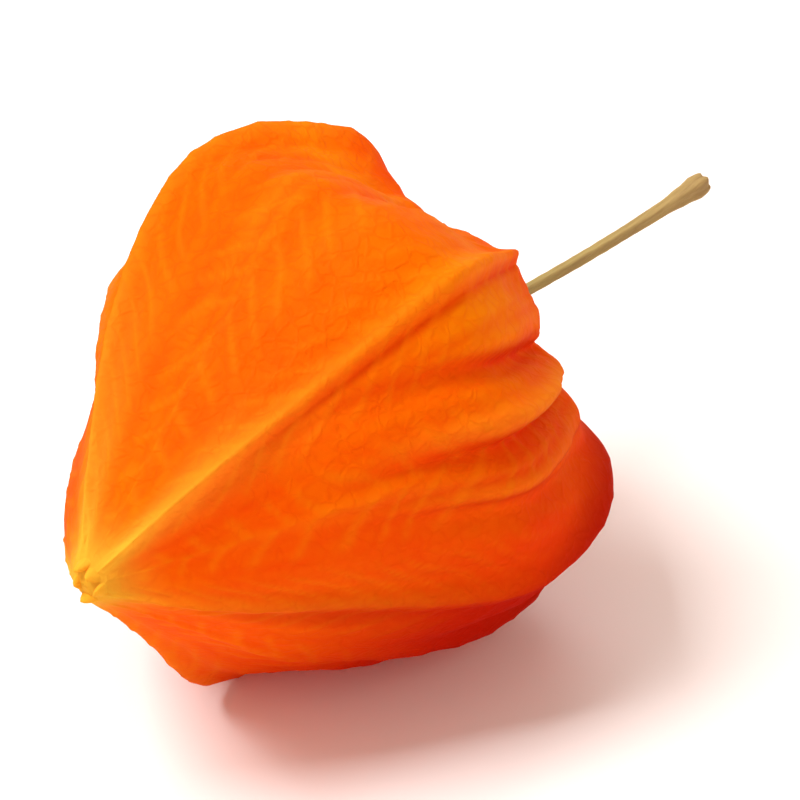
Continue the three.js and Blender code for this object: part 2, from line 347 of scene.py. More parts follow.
def fine_creases():
    """All fine creases, as rows like those of the folds."""
    creases = list(FACING_CREASES)
    for panel in range(RIBS):
        mine = sorted((row[1], row[2]) for row in FOLDS if row[0] == panel)
        starts = [0.0] + [a for a, _ in mine] + [1.0]
        ends = [0.0] + [b for _, b in mine] + [1.0]
        for n in range(CREASES_PER_PANEL):
            start = (n + draw.uniform(*CREASE_JITTER)) / CREASES_PER_PANEL
            end = float(np.interp(start, starts, ends))
            size = draw.uniform(*CREASE_SIZES) * draw.choice(CREASE_SIGNS)
            reach = draw.uniform(*CREASE_REACHES)
            creases.append((panel, start, end, reach, size, draw.uniform(*CREASE_WIDTHS)))
    return creases


CREASES = fine_creases()
print("fine creases:", len(CREASES))

# %% [markdown]
# ## The husk as a grid
# The wall is one closed grid of points wrapped round the fruit, its rows running from the hollow at
# the stalk, over the rim, to the tip. Each column belongs to a place across one panel. A displaced
# sphere would crowd its points at the wrong places, while this grid puts a column on every rib.
# Heights are added along the wall's own normal, so folds on the rim stand backwards and
# folds on the flank stand outwards.

# %% Points of the wall
COLUMNS_PER_PANEL = 66
ROWS = 224
NORMAL_STEP = 0.004

rows = np.linspace(0, 1, ROWS + 1)
columns = COLUMNS_PER_PANEL * RIBS


def outline_at(panel, across, along):
    """Distance along the fruit and radius of the plain wall, mm."""
    rib = rib_outlines[panel if across < 0.5 else (panel + 1) % RIBS]
    rib_points = spline(rib, along)
    return rib_points + (spline(panel_outlines[panel], along) - rib_points) * chord_weight(across)


def column_angle(panel, across):
    """Angle of a column round the fruit, in radians."""
    last = RIB_ANGLES[0] + 360 if panel == RIBS - 1 else RIB_ANGLES[panel + 1]
    return math.radians(RIB_ANGLES[panel] + (last - RIB_ANGLES[panel]) * across)


plain = np.zeros((ROWS + 1, columns, 2))
normal = np.zeros((ROWS + 1, columns, 2))
folds = np.zeros((ROWS + 1, columns))
fine = np.zeros((ROWS + 1, columns))
angles = np.zeros(columns)
panels = np.repeat(np.arange(RIBS), COLUMNS_PER_PANEL)
acrosses = np.tile(np.arange(COLUMNS_PER_PANEL) / COLUMNS_PER_PANEL, RIBS)
for c in range(columns):
    k, u = int(panels[c]), float(acrosses[c])
    plain[:, c] = outline_at(k, u, rows)
    step = outline_at(k, u, rows + NORMAL_STEP) - outline_at(k, u, rows - NORMAL_STEP)
    step /= np.linalg.norm(step, axis=1, keepdims=True)
    normal[:, c] = np.stack([-step[:, 1], step[:, 0]], axis=1)
    folds[:, c] = fold_height(k, u, rows)
    fine[:, c] = sum(one_fold(u, rows, *row[1:]) for row in CREASES if row[0] == k)
    angles[c] = column_angle(k, u)
folds *= np.minimum(1, plain[..., 1] / FULL_RELIEF_RADIUS)
fine *= np.minimum(1, plain[..., 1] / FULL_RELIEF_RADIUS)
print("grid:", ROWS + 1, "rows by", columns, "columns; folds from",
      round(float(folds.min()), 2), "to", round(float(folds.max()), 2), "mm")

# %% [markdown]
# ## Side veins and crumple
# From every rib thin side veins slant towards the tip, like those of a leaf, and the wall between
# them is a little crumpled, as paper that has dried. Both are real shape, not only shading, because
# they catch the light from the side. The veins come from a phase that runs along
# the fruit and leans with the distance from the rib. Noise bends it, so no two veins are alike.

# %% Side veins
VEIN_SPACING = 3.9
VEIN_SLANT = 1.15
VEIN_WIDTH = 0.13
VEIN_HEIGHT = 0.10
VEIN_WANDER = 0.55
WANDER_NOISE = (0.16, 3.0)
PANEL_PHASE = 0.37
SIDE_PHASE = 0.5
SIDES_PER_PANEL = 4
OPEN_WALL_START = (0.22, 0.40)
OPEN_WALL_END = (0.84, 0.95)
VEIN_FADE = (0.15, 0.25)


def wall_points(length, radius):
    """Points in mm in the fruit's own frame: the tip at -Y, angle 0 upwards."""
    return np.stack([radius * np.sin(angles), -length, radius * np.cos(angles)], axis=-1)


def noise_field(points, scale, offset):
    """Smooth noise from -1 to 1 at each point, the same on every run."""
    flat = points.reshape(-1, 3) * scale + offset
    values = [noise.noise(Vector(p)) for p in flat.tolist()]
    return np.array(values).reshape(points.shape[:-1])


plain_points = wall_points(plain[..., 0], plain[..., 1])
steps = np.diff(plain_points, axis=0, prepend=plain_points[:1])
run = np.cumsum(np.linalg.norm(steps, axis=2), axis=0)
panel_turn = np.array([column_angle(int(k), 1.0) - column_angle(int(k), 0.0) for k in panels])
beside_rib = np.minimum(acrosses, 1 - acrosses)
to_main = np.minimum(beside_rib, abs(acrosses - 0.5))
side = np.floor(acrosses * SIDES_PER_PANEL)
lateral = to_main * panel_turn * plain[..., 1]
wander = noise_field(plain_points, *WANDER_NOISE)
phase = (run - VEIN_SLANT * lateral) / VEIN_SPACING + VEIN_WANDER * wander
phase = phase + panels * PANEL_PHASE + side * SIDE_PHASE
open_wall = plateau(OPEN_WALL_START, OPEN_WALL_END, rows)
vein_fade = open_wall[:, None] * (1 - ease(*VEIN_FADE, to_main))
veins = bump(phase - np.round(phase), VEIN_WIDTH) * vein_fade
print("side veins run", round(float(run.max()), 1), "mm of wall; strongest",
      round(float(veins.max()), 2))

# %% Crumple and final wall
CRUMPLE_HEIGHT = 0.26
CRUMPLE_NOISE = (0.065, 11.0)
DENT_HEIGHT = 0.07
DENT_NOISE = (0.23, 27.0)
DENT_SHARPNESS = 3
SOFT_WALL_START = (0.10, 0.30)
SOFT_WALL_END = (0.90, 0.98)

crumple = noise_field(plain_points, *CRUMPLE_NOISE)
dents = 1 - DENT_SHARPNESS * abs(noise_field(plain_points, *DENT_NOISE))
soft_wall = plateau(SOFT_WALL_START, SOFT_WALL_END, rows)[:, None]
height = folds + fine + soft_wall * (CRUMPLE_HEIGHT * crumple + DENT_HEIGHT * dents)
height += VEIN_HEIGHT * veins
wall_length = plain[..., 0] + normal[..., 0] * height
wall_radius = np.maximum(plain[..., 1] + normal[..., 1] * height, 0)
husk_points = wall_points(wall_length, wall_radius)
print("relief from", round(float(height.min()), 2), "to", round(float(height.max()), 2), "mm")

# %% [markdown]
# ## Lying pose
# The fruit lies with its tip lifted a little, and its lowest rib gives way to a small flat spot.
# These numbers are those of the solid part, so the picture lies exactly where the part lies.

# %% Into the part's frame
PITCH = math.radians(-2.9)
MIDDLE = np.array([0.4193, -9.0144])
FLOOR = -20.0271
PRESSED_GAP = 0.04


def lay_down(points):
    """From the fruit's own frame to the part's frame, still in mm."""
    x, y, z = points[..., 0], points[..., 1], points[..., 2]
    turned_y = y * math.cos(PITCH) - z * math.sin(PITCH)
    turned_z = y * math.sin(PITCH) + z * math.cos(PITCH)
    return np.stack([x - MIDDLE[0], turned_y - MIDDLE[1], turned_z - FLOOR], axis=-1)


laid = lay_down(husk_points)
pressed = laid[..., 2] < PRESSED_GAP
laid[..., 2] = np.maximum(laid[..., 2], PRESSED_GAP)
laid_list = laid.reshape(-1, 3)
print("wall box, mm:", laid_list.min(axis=0).round(1), laid_list.max(axis=0).round(1),
      "points pressed flat:", int(pressed.sum()))

# %% [markdown]
# ## Where the colour changes
# The husk isn't one orange. It pales to yellow at the tip, along the ribs and in a few paler patches.
# Its grooves and fine creases get a painted red shade and the tops of its fold ridges a painted
# highlight. A deep red painted shade lies on the low side, on the shaded side and just under one rib.
# These places are stored on the mesh as named values, one number per point, and the finish reads them.
# Painting by hand would work too, but a formula follows the ribs exactly.

# %% Pale places
RIB_PALENESS = [1.0, 1.0, 0.35, 0.4, 0.8]
RIB_LINE_WIDTH = 0.03
MID_LINE_WIDTH = 0.016
MID_LINE_SHARE = 0.5
RIB_LINE_START = (0.34, 0.60)
TIP_START = (0.80, 0.955)
BESIDE_RIB_GLOW = 0.75
BESIDE_RIB_WIDTH = 0.16
BESIDE_RIB_START = (0.58, 0.93)
# place along, width along, place around, width around, strength
PALE_SPOTS = [(0.50, 0.075, 1.10, 0.24, 1.0), (0.43, 0.05, 0.20, 0.20, 0.5)]
PALE_BAND = 0.435
PALE_BAND_WIDTH = 0.06
PALE_BAND_SHARE = 0.6
PATCH_NOISE = (0.11, 41.0)
PATCH_EDGE = (-0.25, 0.35)


def on_grid(by_row, by_column):
    """One number per grid point, from one per row and one per column."""
    return by_row[:, None] * by_column[None, :]


around = panels + acrosses
nearest_rib = np.where(acrosses < 0.5, panels, (panels + 1) % RIBS)
rib_pale = np.array(RIB_PALENESS)[nearest_rib]
mid_line = bump(acrosses - 0.5, MID_LINE_WIDTH) * MID_LINE_SHARE
rib_line = (bump(beside_rib, RIB_LINE_WIDTH) + mid_line) * rib_pale
rib_values = on_grid(ease(*RIB_LINE_START, rows), rib_line)
beside_glow = BESIDE_RIB_GLOW * bump(beside_rib, BESIDE_RIB_WIDTH) * rib_pale
tip_glow = ease(*TIP_START, rows)[:, None] + on_grid(ease(*BESIDE_RIB_START, rows), beside_glow)
tip_values = np.clip(tip_glow, 0, 1)
patches = ease(*PATCH_EDGE, noise_field(plain_points, *PATCH_NOISE))
pale_values = bump(rows - PALE_BAND, PALE_BAND_WIDTH)[:, None] * patches * PALE_BAND_SHARE
for along, along_width, turn, turn_width, strength in PALE_SPOTS:
    spot = on_grid(bump(rows - along, along_width), bump(around - turn, turn_width))
    pale_values += strength * spot
print("palest patch:", round(float(pale_values.max()), 2))

# %% Painted red shade, and the rim
HOLLOW_END = (0.20, 0.42)
HOLLOW_SOFTENING = 0.5
LOW_SHADE_START = (1.62, 2.00)
LOW_SHADE_END = (3.3, 4.0)
LOW_SHADE_REACH = (0.50, 0.66)
SHADE_START = (1.95, 2.08)
SHADE_END = (2.6, 3.5)
SHADE_REACH = (0.52, 0.74)
SHADE_LEAN = 0.5
SHADE_LEAN_FROM = 0.58
SHADE_LEAN_LIMITS = (-0.1, 0.14)
UNDER_RIB = 2.07
UNDER_RIB_WIDTH = 0.10
UNDER_RIB_SHARE = 0.7
UNDER_RIB_REACH = (0.64, 0.86)
RIM_PLACE = 0.30
RIM_WIDTH = 0.08

# Painted shade, deep red: on the low side, on the shaded side and just under the rib where both begin,
# softer in the hollow by the stalk.
softer_hollow = 1 - HOLLOW_SOFTENING * (1 - ease(*HOLLOW_END, rows))[:, None]
low_side_shade = plateau(LOW_SHADE_START, LOW_SHADE_END, around)
low_shade_values = on_grid(1 - ease(*LOW_SHADE_REACH, rows), low_side_shade) * softer_hollow
shade_lean = SHADE_LEAN * np.clip(SHADE_LEAN_FROM - rows, *SHADE_LEAN_LIMITS)[:, None]
shaded_side = ease(*SHADE_START, around[None, :] + shade_lean) * (1 - ease(*SHADE_END, around))
shaded_side = shaded_side * (1 - ease(*SHADE_REACH, rows))[:, None]
under_rib = UNDER_RIB_SHARE * bump(around - UNDER_RIB, UNDER_RIB_WIDTH)
under_rib = on_grid(1 - ease(*UNDER_RIB_REACH, rows), under_rib)
shaded_values = np.maximum(shaded_side, under_rib) * softer_hollow
rim_values = on_grid(bump(rows - RIM_PLACE, RIM_WIDTH), np.ones(columns))
print("reddest shade:", round(float(shaded_values.max()), 2))

# %% Streaks and the list of values
FOLD_UNIT = 1.3
CREASE_UNIT = 0.45
STREAKS_AROUND = 9.0
STREAKS_ALONG = 5.0
STREAK_MIDDLE = 0.5
COARSE_STREAKS = (1.0, 5.0)
FINE_STREAKS = (2.1, 9.0)
FINE_STREAK_SHARE = 0.5

streak_places = np.zeros((*run.shape, 3))
streak_places[..., 0] = around * STREAKS_AROUND
streak_places[..., 1] = rows[:, None] * STREAKS_ALONG
streaks = noise_field(streak_places, *COARSE_STREAKS)
streaks += FINE_STREAK_SHARE * noise_field(streak_places, *FINE_STREAKS)
wall_values = {
    "rib_line": rib_values,
    "tip_glow": tip_values,
    # the fold heights and crease depths below carry a painted highlight on ridges and painted shade in
    # grooves and creases
    "fold": folds / FOLD_UNIT,
    "crease_shade": -fine / CREASE_UNIT,
    "streak": STREAK_MIDDLE + streaks * open_wall[:, None],
    "vein": veins,
    "low_side_shade": low_shade_values,
    "shaded_side": shaded_values,
    "rim": rim_values,
    "pale": pale_values,
}
print("values on the wall, most of each:",
      {name: round(float(v.max()), 2) for name, v in wall_values.items()})

# %% [markdown]
# ## Teeth
# At the tip the five ribs end as five short teeth, a little flattened, that close into a blunt bud.
# Each is a blade of rings that narrow to a point. They grow from inside the
# end of the wall, so no gap shows round their roots.

# %% Teeth
TOOTH_LENGTH = 3.9
TOOTH_RADIUS = 1.8
TOOTH_TAPER = 0.62
TOOTH_FLATNESS = 0.55
TOOTH_CURL = [0.1, -0.35, -0.05, 0.2, -0.5]
TOOTH_START = 46.2
TOOTH_RING = 1.3
TOOTH_SIDES = 16
TOOTH_RINGS = 22
TOOTH_RIDGE = 0.25
TOOTH_RIDGE_WIDTH = 0.35
TOOTH_SWAY = 0.25
SWAY_PHASE = 3


def tooth_points(index):
    """Rings of one tooth, in the fruit's own frame."""
    rings = []
    turn = math.radians(RIB_ANGLES[index])
    for t in np.linspace(0, 1, TOOTH_RINGS)[:-1]:
        width = TOOTH_RADIUS * (1 - t) ** TOOTH_TAPER
        curl = TOOTH_CURL[index] * t**2
        sway = TOOTH_SWAY * math.sin(SWAY_PHASE * t + index)
        for s in range(TOOTH_SIDES):
            a = 2 * math.pi * s / TOOTH_SIDES
            ridge = TOOTH_RIDGE * width * bump(math.sin(a) - 1, TOOTH_RIDGE_WIDTH) * (1 - t)
            x = width * math.cos(a) + sway * t
            z = TOOTH_RING + curl + TOOTH_FLATNESS * width * math.sin(a) + ridge
            rings.append((x * math.cos(turn) + z * math.sin(turn),
                          -TOOTH_START - TOOTH_LENGTH * t,
                          -x * math.sin(turn) + z * math.cos(turn)))
    z = TOOTH_RING + TOOTH_CURL[index]
    rings.append((z * math.sin(turn), -TOOTH_START - TOOTH_LENGTH, z * math.cos(turn)))
    return np.array(rings)


def tube_faces(ring_count, sides, start):
    """Quads between rings, a root cap and a fan to the last point."""
    faces = [list(range(start, start + sides))]
    for r in range(ring_count - 1):
        for s in range(sides):
            a, b = start + r * sides + s, start + r * sides + (s + 1) % sides
            faces.append([b, a, a + sides, b + sides])
    peak = start + ring_count * sides
    top = peak - sides
    faces += [[top + (s + 1) % sides, top + s, peak] for s in range(sides)]
    return faces


print("teeth:", RIBS, "of", TOOTH_LENGTH, "mm")

# %% Build the husk
def wall_faces():
    """Fans at both ends and quads between, wrapped round the last column."""
    faces = []
    base_pole, tip_pole = 0, 1 + (ROWS - 1) * columns
    first = 1
    for c in range(columns):
        n = (c + 1) % columns
        faces.append((base_pole, first + c, first + n))
        for r in range(ROWS - 2):
            a, b = first + r * columns + c, first + r * columns + n
            faces.append((a, a + columns, b + columns, b))
        last = first + (ROWS - 2) * columns
        faces.append((last + n, last + c, tip_pole))
    return faces


def per_point(values):
    """One number per mesh point: the base point, the rows between, the tip point."""
    return np.concatenate([[values[0].mean()], values[1:-1].reshape(-1), [values[-1].mean()]])


husk_vertices = np.concatenate([laid[0, :1], laid[1:-1].reshape(-1, 3), laid[-1, :1]])
husk_faces = wall_faces()
value_lists = {name: [per_point(v)] for name, v in wall_values.items()}
TOOTH_VALUES = {"rib_line": 0.3, "tip_glow": 1.0}
for k in range(RIBS):
    blade = lay_down(tooth_points(k))
    husk_faces += tube_faces(TOOTH_RINGS - 1, TOOTH_SIDES, len(husk_vertices))
    husk_vertices = np.concatenate([husk_vertices, blade])
    for name, parts in value_lists.items():
        parts.append(np.full(len(blade), TOOTH_VALUES.get(name, 0.0)))


def new_piece(name, vertices, faces):
    """A smooth-shaded object in the part's frame, from points in mm."""
    mesh = bpy.data.meshes.new(name)
    mesh.from_pydata((vertices * MM).tolist(), [], faces)
    mesh.validate()
    mesh.polygons.foreach_set("use_smooth", [True] * len(mesh.polygons))
    piece = bpy.data.objects.new(name, mesh)
    scene.collection.objects.link(piece)
    return piece


def store_values(piece, name, values):
    """Keep one number per point on the mesh, for the finish to read."""
    layer = piece.data.attributes.new(name, "FLOAT", "POINT")
    layer.data.foreach_set("value", np.asarray(values, np.float32))


husk = new_piece("husk_paper", husk_vertices, husk_faces)
for name, parts in value_lists.items():
    store_values(husk, name, np.concatenate(parts))
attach(husk, "root")
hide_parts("husk")
print("husk:", len(husk.data.vertices), "points,", len(husk.data.polygons), "faces")

# %% [markdown]
# ## Stalk
# The stalk is a thin dry stem, five-grooved, with a swelling at each end: the small one sits in
# the husk's hollow, the larger one is where it broke from the main stem. Rings of points
# along a bent path give it all of that at once. A curve with a round bevel would be quicker, but it
# can't have grooves or knots. The path and radii repeat those of the solid part.

# %% Stalk shape
STALK_OUTLINE = np.array([
    (0, 0.05), (0, 0.6), (0.5, 0.9), (1.4, 0.86), (3.2, 0.68), (6, 0.58), (13, 0.52), (21, 0.52),
    (29, 0.55), (33.5, 0.63), (35.8, 0.84), (37.2, 1.0), (38.2, 0.92), (38.5, 0.8), (38.3, 0.05),
])
STALK_DROOP = 1.8
STALK_SAG = 4.6
STALK_SWAY = 2.2
STALK_GAP = 0.3
STALK_SIDES = 40
STALK_RINGS = 300
STALK_GROOVES = 5
GROOVE_DEPTH = 0.09
TWIST_PER_MM = 0.012
KNOT_UNEVENNESS = 0.05
KNOT_SCALE = 0.9
FIBRE_UNEVENNESS = 0.03
FIBRES_AROUND = 3
FIBRE_SCALE = 0.35
SCAR_ROUGHNESS = 0.24
SCAR_SCALE = 2
SCAR_DEPTH = 1.0


def stalk_rings():
    """Rings from the root in the hollow to the broken end, in the fruit's own frame."""
    place = np.linspace(0, 1, STALK_RINGS)
    gaps = np.linalg.norm(np.diff(STALK_OUTLINE, axis=0), axis=1)
    stops = np.concatenate([[0], np.cumsum(gaps)]) / gaps.sum()
    along = np.interp(place, stops, STALK_OUTLINE[:, 0])
    radius = np.interp(place, stops, STALK_OUTLINE[:, 1])
    length = STALK_OUTLINE[-2, 0]
    rings = []
    for y, r in zip(along, radius):
        knot = 1 + KNOT_UNEVENNESS * noise.noise(Vector((0.0, y * KNOT_SCALE, 4.0)))
        t = y / length
        drop = STALK_DROOP * t**2 + STALK_SAG * t * (1 - t)
        for s in range(STALK_SIDES):
            a = 2 * math.pi * s / STALK_SIDES
            x, z = math.cos(a), math.sin(a)
            groove = 1 + GROOVE_DEPTH * math.cos(STALK_GROOVES * (a + TWIST_PER_MM * y))
            fibre_place = Vector((FIBRES_AROUND * x, y * FIBRE_SCALE, FIBRES_AROUND * z))
            fibre = 1 + FIBRE_UNEVENNESS * noise.noise(fibre_place)
            scar = noise.noise(Vector((SCAR_SCALE * r * x, 7.0, SCAR_SCALE * r * z)))
            ragged = SCAR_ROUGHNESS * scar * ease(length - SCAR_DEPTH, length, y)
            full = r * knot * groove * fibre
            rings.append((full * x + STALK_SWAY * t,
                          y + ragged + STALK_GAP - RIB_OUTLINE[0][0],
                          full * z - drop))
    return np.array(rings), along


stalk_points, stalk_along = stalk_rings()
stalk_faces = [list(range(STALK_SIDES))]
for r in range(STALK_RINGS - 1):
    for s in range(STALK_SIDES):
        a, b = r * STALK_SIDES + s, r * STALK_SIDES + (s + 1) % STALK_SIDES
        stalk_faces.append([a, b, b + STALK_SIDES, a + STALK_SIDES])
end_ring = range((STALK_RINGS - 1) * STALK_SIDES, STALK_RINGS * STALK_SIDES)
stalk_faces.append(list(end_ring)[::-1])
stalk = new_piece("stalk_dry", lay_down(stalk_points), stalk_faces)
store_values(stalk, "stalk_place", np.repeat(stalk_along / stalk_along.max(), STALK_SIDES))
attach(stalk, "root")
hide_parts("stalk")
print("stalk:", len(stalk.data.vertices), "points")

# %% [markdown]
# ## Faces outwards
# A translucent wall is lit from both sides, so every face must know which side is out. Blender
# first makes the faces of each loose part agree. The signed volume is then positive when they
# look outwards, and a piece that fails is turned round.

# %% Turn faces outwards
import bmesh

CUBIC_CM = 1e-6


def face_outwards(piece):
    """Make every face of a piece look outwards and print the volume it holds."""
    mesh = bmesh.new()
    mesh.from_mesh(piece.data)
    bmesh.ops.recalc_face_normals(mesh, faces=mesh.faces)
    volume = mesh.calc_volume(signed=True)
    if volume < 0:
        bmesh.ops.reverse_faces(mesh, faces=mesh.faces)
    mesh.to_mesh(piece.data)
    mesh.free()
    print(piece.name, "holds", round(abs(volume) / CUBIC_CM, 2), "cubic cm")


face_outwards(husk)
face_outwards(stalk)

# %% [markdown]
# The side that looks up gets painted amber light, and the side that looks down gets painted red
# shade, most of all near the base. The mesh's own normals say which way each point
# looks, so this is measured after the wall is built, folds and all.

# %% Which way the wall looks
BASE_REACH = (0.54, 0.74)
UP_LIGHT_RANGE = (0.15, 0.85)
TURNED_DOWN = (-0.65, 0.15)

normals = np.zeros(3 * len(husk.data.vertices), np.float32)
husk.data.vertices.foreach_get("normal", normals)
upward = normals.reshape(-1, 3)[:, 2]
towards_base = np.zeros(len(upward))
base_share = per_point(on_grid(1 - ease(*BASE_REACH, rows), np.ones(columns)))
towards_base[:len(base_share)] = base_share
# Painted light: amber where the wall looks up. Painted shade: red where it looks down near the base.
up_facing_light = ease(*UP_LIGHT_RANGE, upward)
down_facing_shade = (1 - ease(*TURNED_DOWN, upward)) * towards_base
store_values(husk, "up_facing_light", up_facing_light)
store_values(husk, "down_facing_shade", down_facing_shade)
print("share of the wall that looks up:", round(float((up_facing_light > 0.5).mean()), 2),
      "and down near the base:", round(float((down_facing_shade > 0.5).mean()), 2))

# %% [markdown]
# ## Plant skin, a finish that husk and stalk share
# Dry plant skin has blotches of more and less colour and a fine grain that follows its
# fibres. One shader group makes both from noise, so each material only chooses its scale and
# stretch. It takes a position in millimetres, which keeps blotches the same size on any piece.

# %% Shader helpers
BLOTCH_CONTRAST = (0.36, 0.66)


def add_node(tree, kind, **settings):
    """New node of a tree, with its settings."""
    node = tree.nodes.new(kind)
    for name, value in settings.items():
        setattr(node, name, value)
    return node


def set_inputs(node, **values):
    """Set a node's plain inputs; an underscore stands for a space."""
    for name, value in values.items():
        node.inputs[name.replace("_", " ")].default_value = value
    return node


def plant_skin_group():
    """Group: position in, blotch mask and grain height out."""
    tree = bpy.data.node_groups.new("plant skin", "ShaderNodeTree")
    tree.interface.new_socket(name="Position", in_out="INPUT", socket_type="NodeSocketVector")
    for name, value in (("Blotch Scale", 0.2), ("Grain Scale", 2.0)):
        socket = tree.interface.new_socket(name=name, in_out="INPUT", socket_type="NodeSocketFloat")
        socket.default_value = value
    tree.interface.new_socket(name="Blotch", in_out="OUTPUT", socket_type="NodeSocketFloat")
    tree.interface.new_socket(name="Grain", in_out="OUTPUT", socket_type="NodeSocketFloat")
    inside = add_node(tree, "NodeGroupInput")
    outside = add_node(tree, "NodeGroupOutput")
    blotch = add_node(tree, "ShaderNodeTexNoise")
    set_inputs(blotch, Detail=6.0, Roughness=0.62, Distortion=0.6)
    grain = add_node(tree, "ShaderNodeTexNoise")
    set_inputs(grain, Detail=4.0, Roughness=0.6, Distortion=0.3)
    tree.links.new(inside.outputs["Position"], blotch.inputs["Vector"])
    tree.links.new(inside.outputs["Blotch Scale"], blotch.inputs["Scale"])
    tree.links.new(inside.outputs["Position"], grain.inputs["Vector"])
    tree.links.new(inside.outputs["Grain Scale"], grain.inputs["Scale"])
    spread = add_node(tree, "ShaderNodeMapRange")
    set_inputs(spread, From_Min=BLOTCH_CONTRAST[0], From_Max=BLOTCH_CONTRAST[1])
    tree.links.new(blotch.outputs["Fac"], spread.inputs["Value"])
    tree.links.new(spread.outputs["Result"], outside.inputs["Blotch"])
    tree.links.new(grain.outputs["Fac"], outside.inputs["Grain"])
    return tree


plant_skin = plant_skin_group()
print("shader group:", plant_skin.name)

# %% [markdown]
# ## Papery husk
# The wall is so thin that light comes through it. It could be a glass-like solid, but paper
# scatters light, so a Principled surface is mixed with a Translucent one of a warmer colour. That mix
# makes the lit side glow and tints the shadow. The colour starts from orange blotches, and
# the values stored on the mesh lay yellow on ribs and tip, painted light on the faces that look up and
# on fold ridges, and painted red shade into grooves, creases, the low side and the faces that look down.
# A net of fine veins, from the borders of Voronoi cells, colours it and raises it a little.

# %% Husk colours
HUSK_ORANGE = (0.94, 0.135, 0.0, 1)
# amber: random blotches, and painted light on faces that look up
HUSK_AMBER = (0.93, 0.280, 0.0, 1)
# deep orange: random streaks, the rim, and painted shade in grooves, creases and on the low side
HUSK_DEEP = (0.86, 0.052, 0.0, 1)
# dark red painted shade for the shaded side and for faces that look down
HUSK_SHADE_RED = (0.46, 0.008, 0.0, 1)
HUSK_PALE = (0.96, 0.37, 0.0, 1)
# painted highlight for the tops of fold ridges
HUSK_RIDGE_HIGHLIGHT = (1.0, 0.42, 0.02, 1)
HUSK_RIB = (0.93, 0.34, 0.004, 1)
HUSK_TIP = (0.95, 0.66, 0.05, 1)
HUSK_NET = (0.86, 0.082, 0.0, 1)
HUSK_GLOW = (1.0, 0.19, 0.0, 1)
GLOW_WARMTH = 0.25
GLOW_SHARE = 0.42


class Colours:
    """Builds a chain of colour mixes in a material's node tree."""

    def __init__(self, tree, start):
        self.tree = tree
        self.last = start

    def lay(self, colour, mask, strength):
        """Mix a colour over what is there, where the mask is high."""
        share = add_node(self.tree, "ShaderNodeMath", operation="MULTIPLY", use_clamp=True)
        share.inputs[1].default_value = strength
        self.tree.links.new(mask, share.inputs[0])
        mix = add_node(self.tree, "ShaderNodeMix", data_type="RGBA")
        mix.inputs[7].default_value = colour
        self.tree.links.new(share.outputs[0], mix.inputs[0])
        if isinstance(self.last, tuple):
            mix.inputs[6].default_value = self.last
        else:
            self.tree.links.new(self.last, mix.inputs[6])
        self.last = mix.outputs[2]


def stored(tree, name):
    """Output of a value that the mesh carries."""
    return add_node(tree, "ShaderNodeAttribute", attribute_name=name).outputs["Fac"]


def times(tree, socket, factor):
    """A value times a plain number."""
    scaled = add_node(tree, "ShaderNodeMath", operation="MULTIPLY")
    scaled.inputs[1].default_value = factor
    tree.links.new(socket, scaled.inputs[0])
    return scaled.outputs[0]


def plus(tree, first, second):
    """Sum of two values."""
    total = add_node(tree, "ShaderNodeMath", operation="ADD")
    tree.links.new(first, total.inputs[0])
    tree.links.new(second, total.inputs[1])
    return total.outputs[0]


def millimetres(tree, stretch=(1, 1, 1)):
    """Object position in mm, stretched by axis."""
    place = add_node(tree, "ShaderNodeTexCoord")
    scaled = add_node(tree, "ShaderNodeMapping")
    scaled.inputs["Scale"].default_value = [1000 * s for s in stretch]
    tree.links.new(place.outputs["Object"], scaled.inputs["Vector"])
    return scaled.outputs["Vector"]


def new_material(name):
    """A material, its node tree and its Principled surface."""
    material = bpy.data.materials.new(name)
    material.use_nodes = True
    return material, material.node_tree, material.node_tree.nodes["Principled BSDF"]


def skin_on(tree, blotch_scale, grain_scale, stretch):
    """The plant skin group placed in a material with its own scales."""
    skin = add_node(tree, "ShaderNodeGroup", node_tree=plant_skin)
    set_inputs(skin, Blotch_Scale=blotch_scale, Grain_Scale=grain_scale)
    tree.links.new(millimetres(tree, stretch), skin.inputs["Position"])
    return skin.outputs["Blotch"], skin.outputs["Grain"]


# %% Fine net
NET_CELLS = 0.72
NET_LINE = 0.22
NET_WARPS = ((0.42, 1.9), (1.5, 0.45))


def vein_net(tree):
    """Mask of the fine net between the veins: 1 on a line."""
    position = millimetres(tree)
    for scale, amount in NET_WARPS:
        warp = add_node(tree, "ShaderNodeTexNoise")
        set_inputs(warp, Scale=scale, Detail=1.0)
        tree.links.new(position, warp.inputs["Vector"])
        bend = add_node(tree, "ShaderNodeVectorMath", operation="MULTIPLY_ADD")
        bend.inputs[1].default_value = (amount,) * 3
        tree.links.new(warp.outputs["Color"], bend.inputs[0])
        tree.links.new(position, bend.inputs[2])
        position = bend.outputs[0]
    cells = add_node(tree, "ShaderNodeTexVoronoi", feature="DISTANCE_TO_EDGE")
    cells.inputs["Scale"].default_value = NET_CELLS
    tree.links.new(position, cells.inputs["Vector"])
    line = add_node(tree, "ShaderNodeMapRange", interpolation_type="SMOOTHSTEP")
    set_inputs(line, From_Min=0.0, From_Max=NET_LINE, To_Min=1.0, To_Max=0.0)
    tree.links.new(cells.outputs["Distance"], line.inputs["Value"])
    return line.outputs["Result"]


# %% Husk finish
HUSK_SKIN = (0.16, 1.9, (1, 0.6, 1))
HUSK_GLOSS = 0.03
HUSK_ROUGHNESS = (0.50, 0.72)
NET_RAISE = 0.36
GRAIN_RAISE = 0.7
BUMP_MM = 0.11
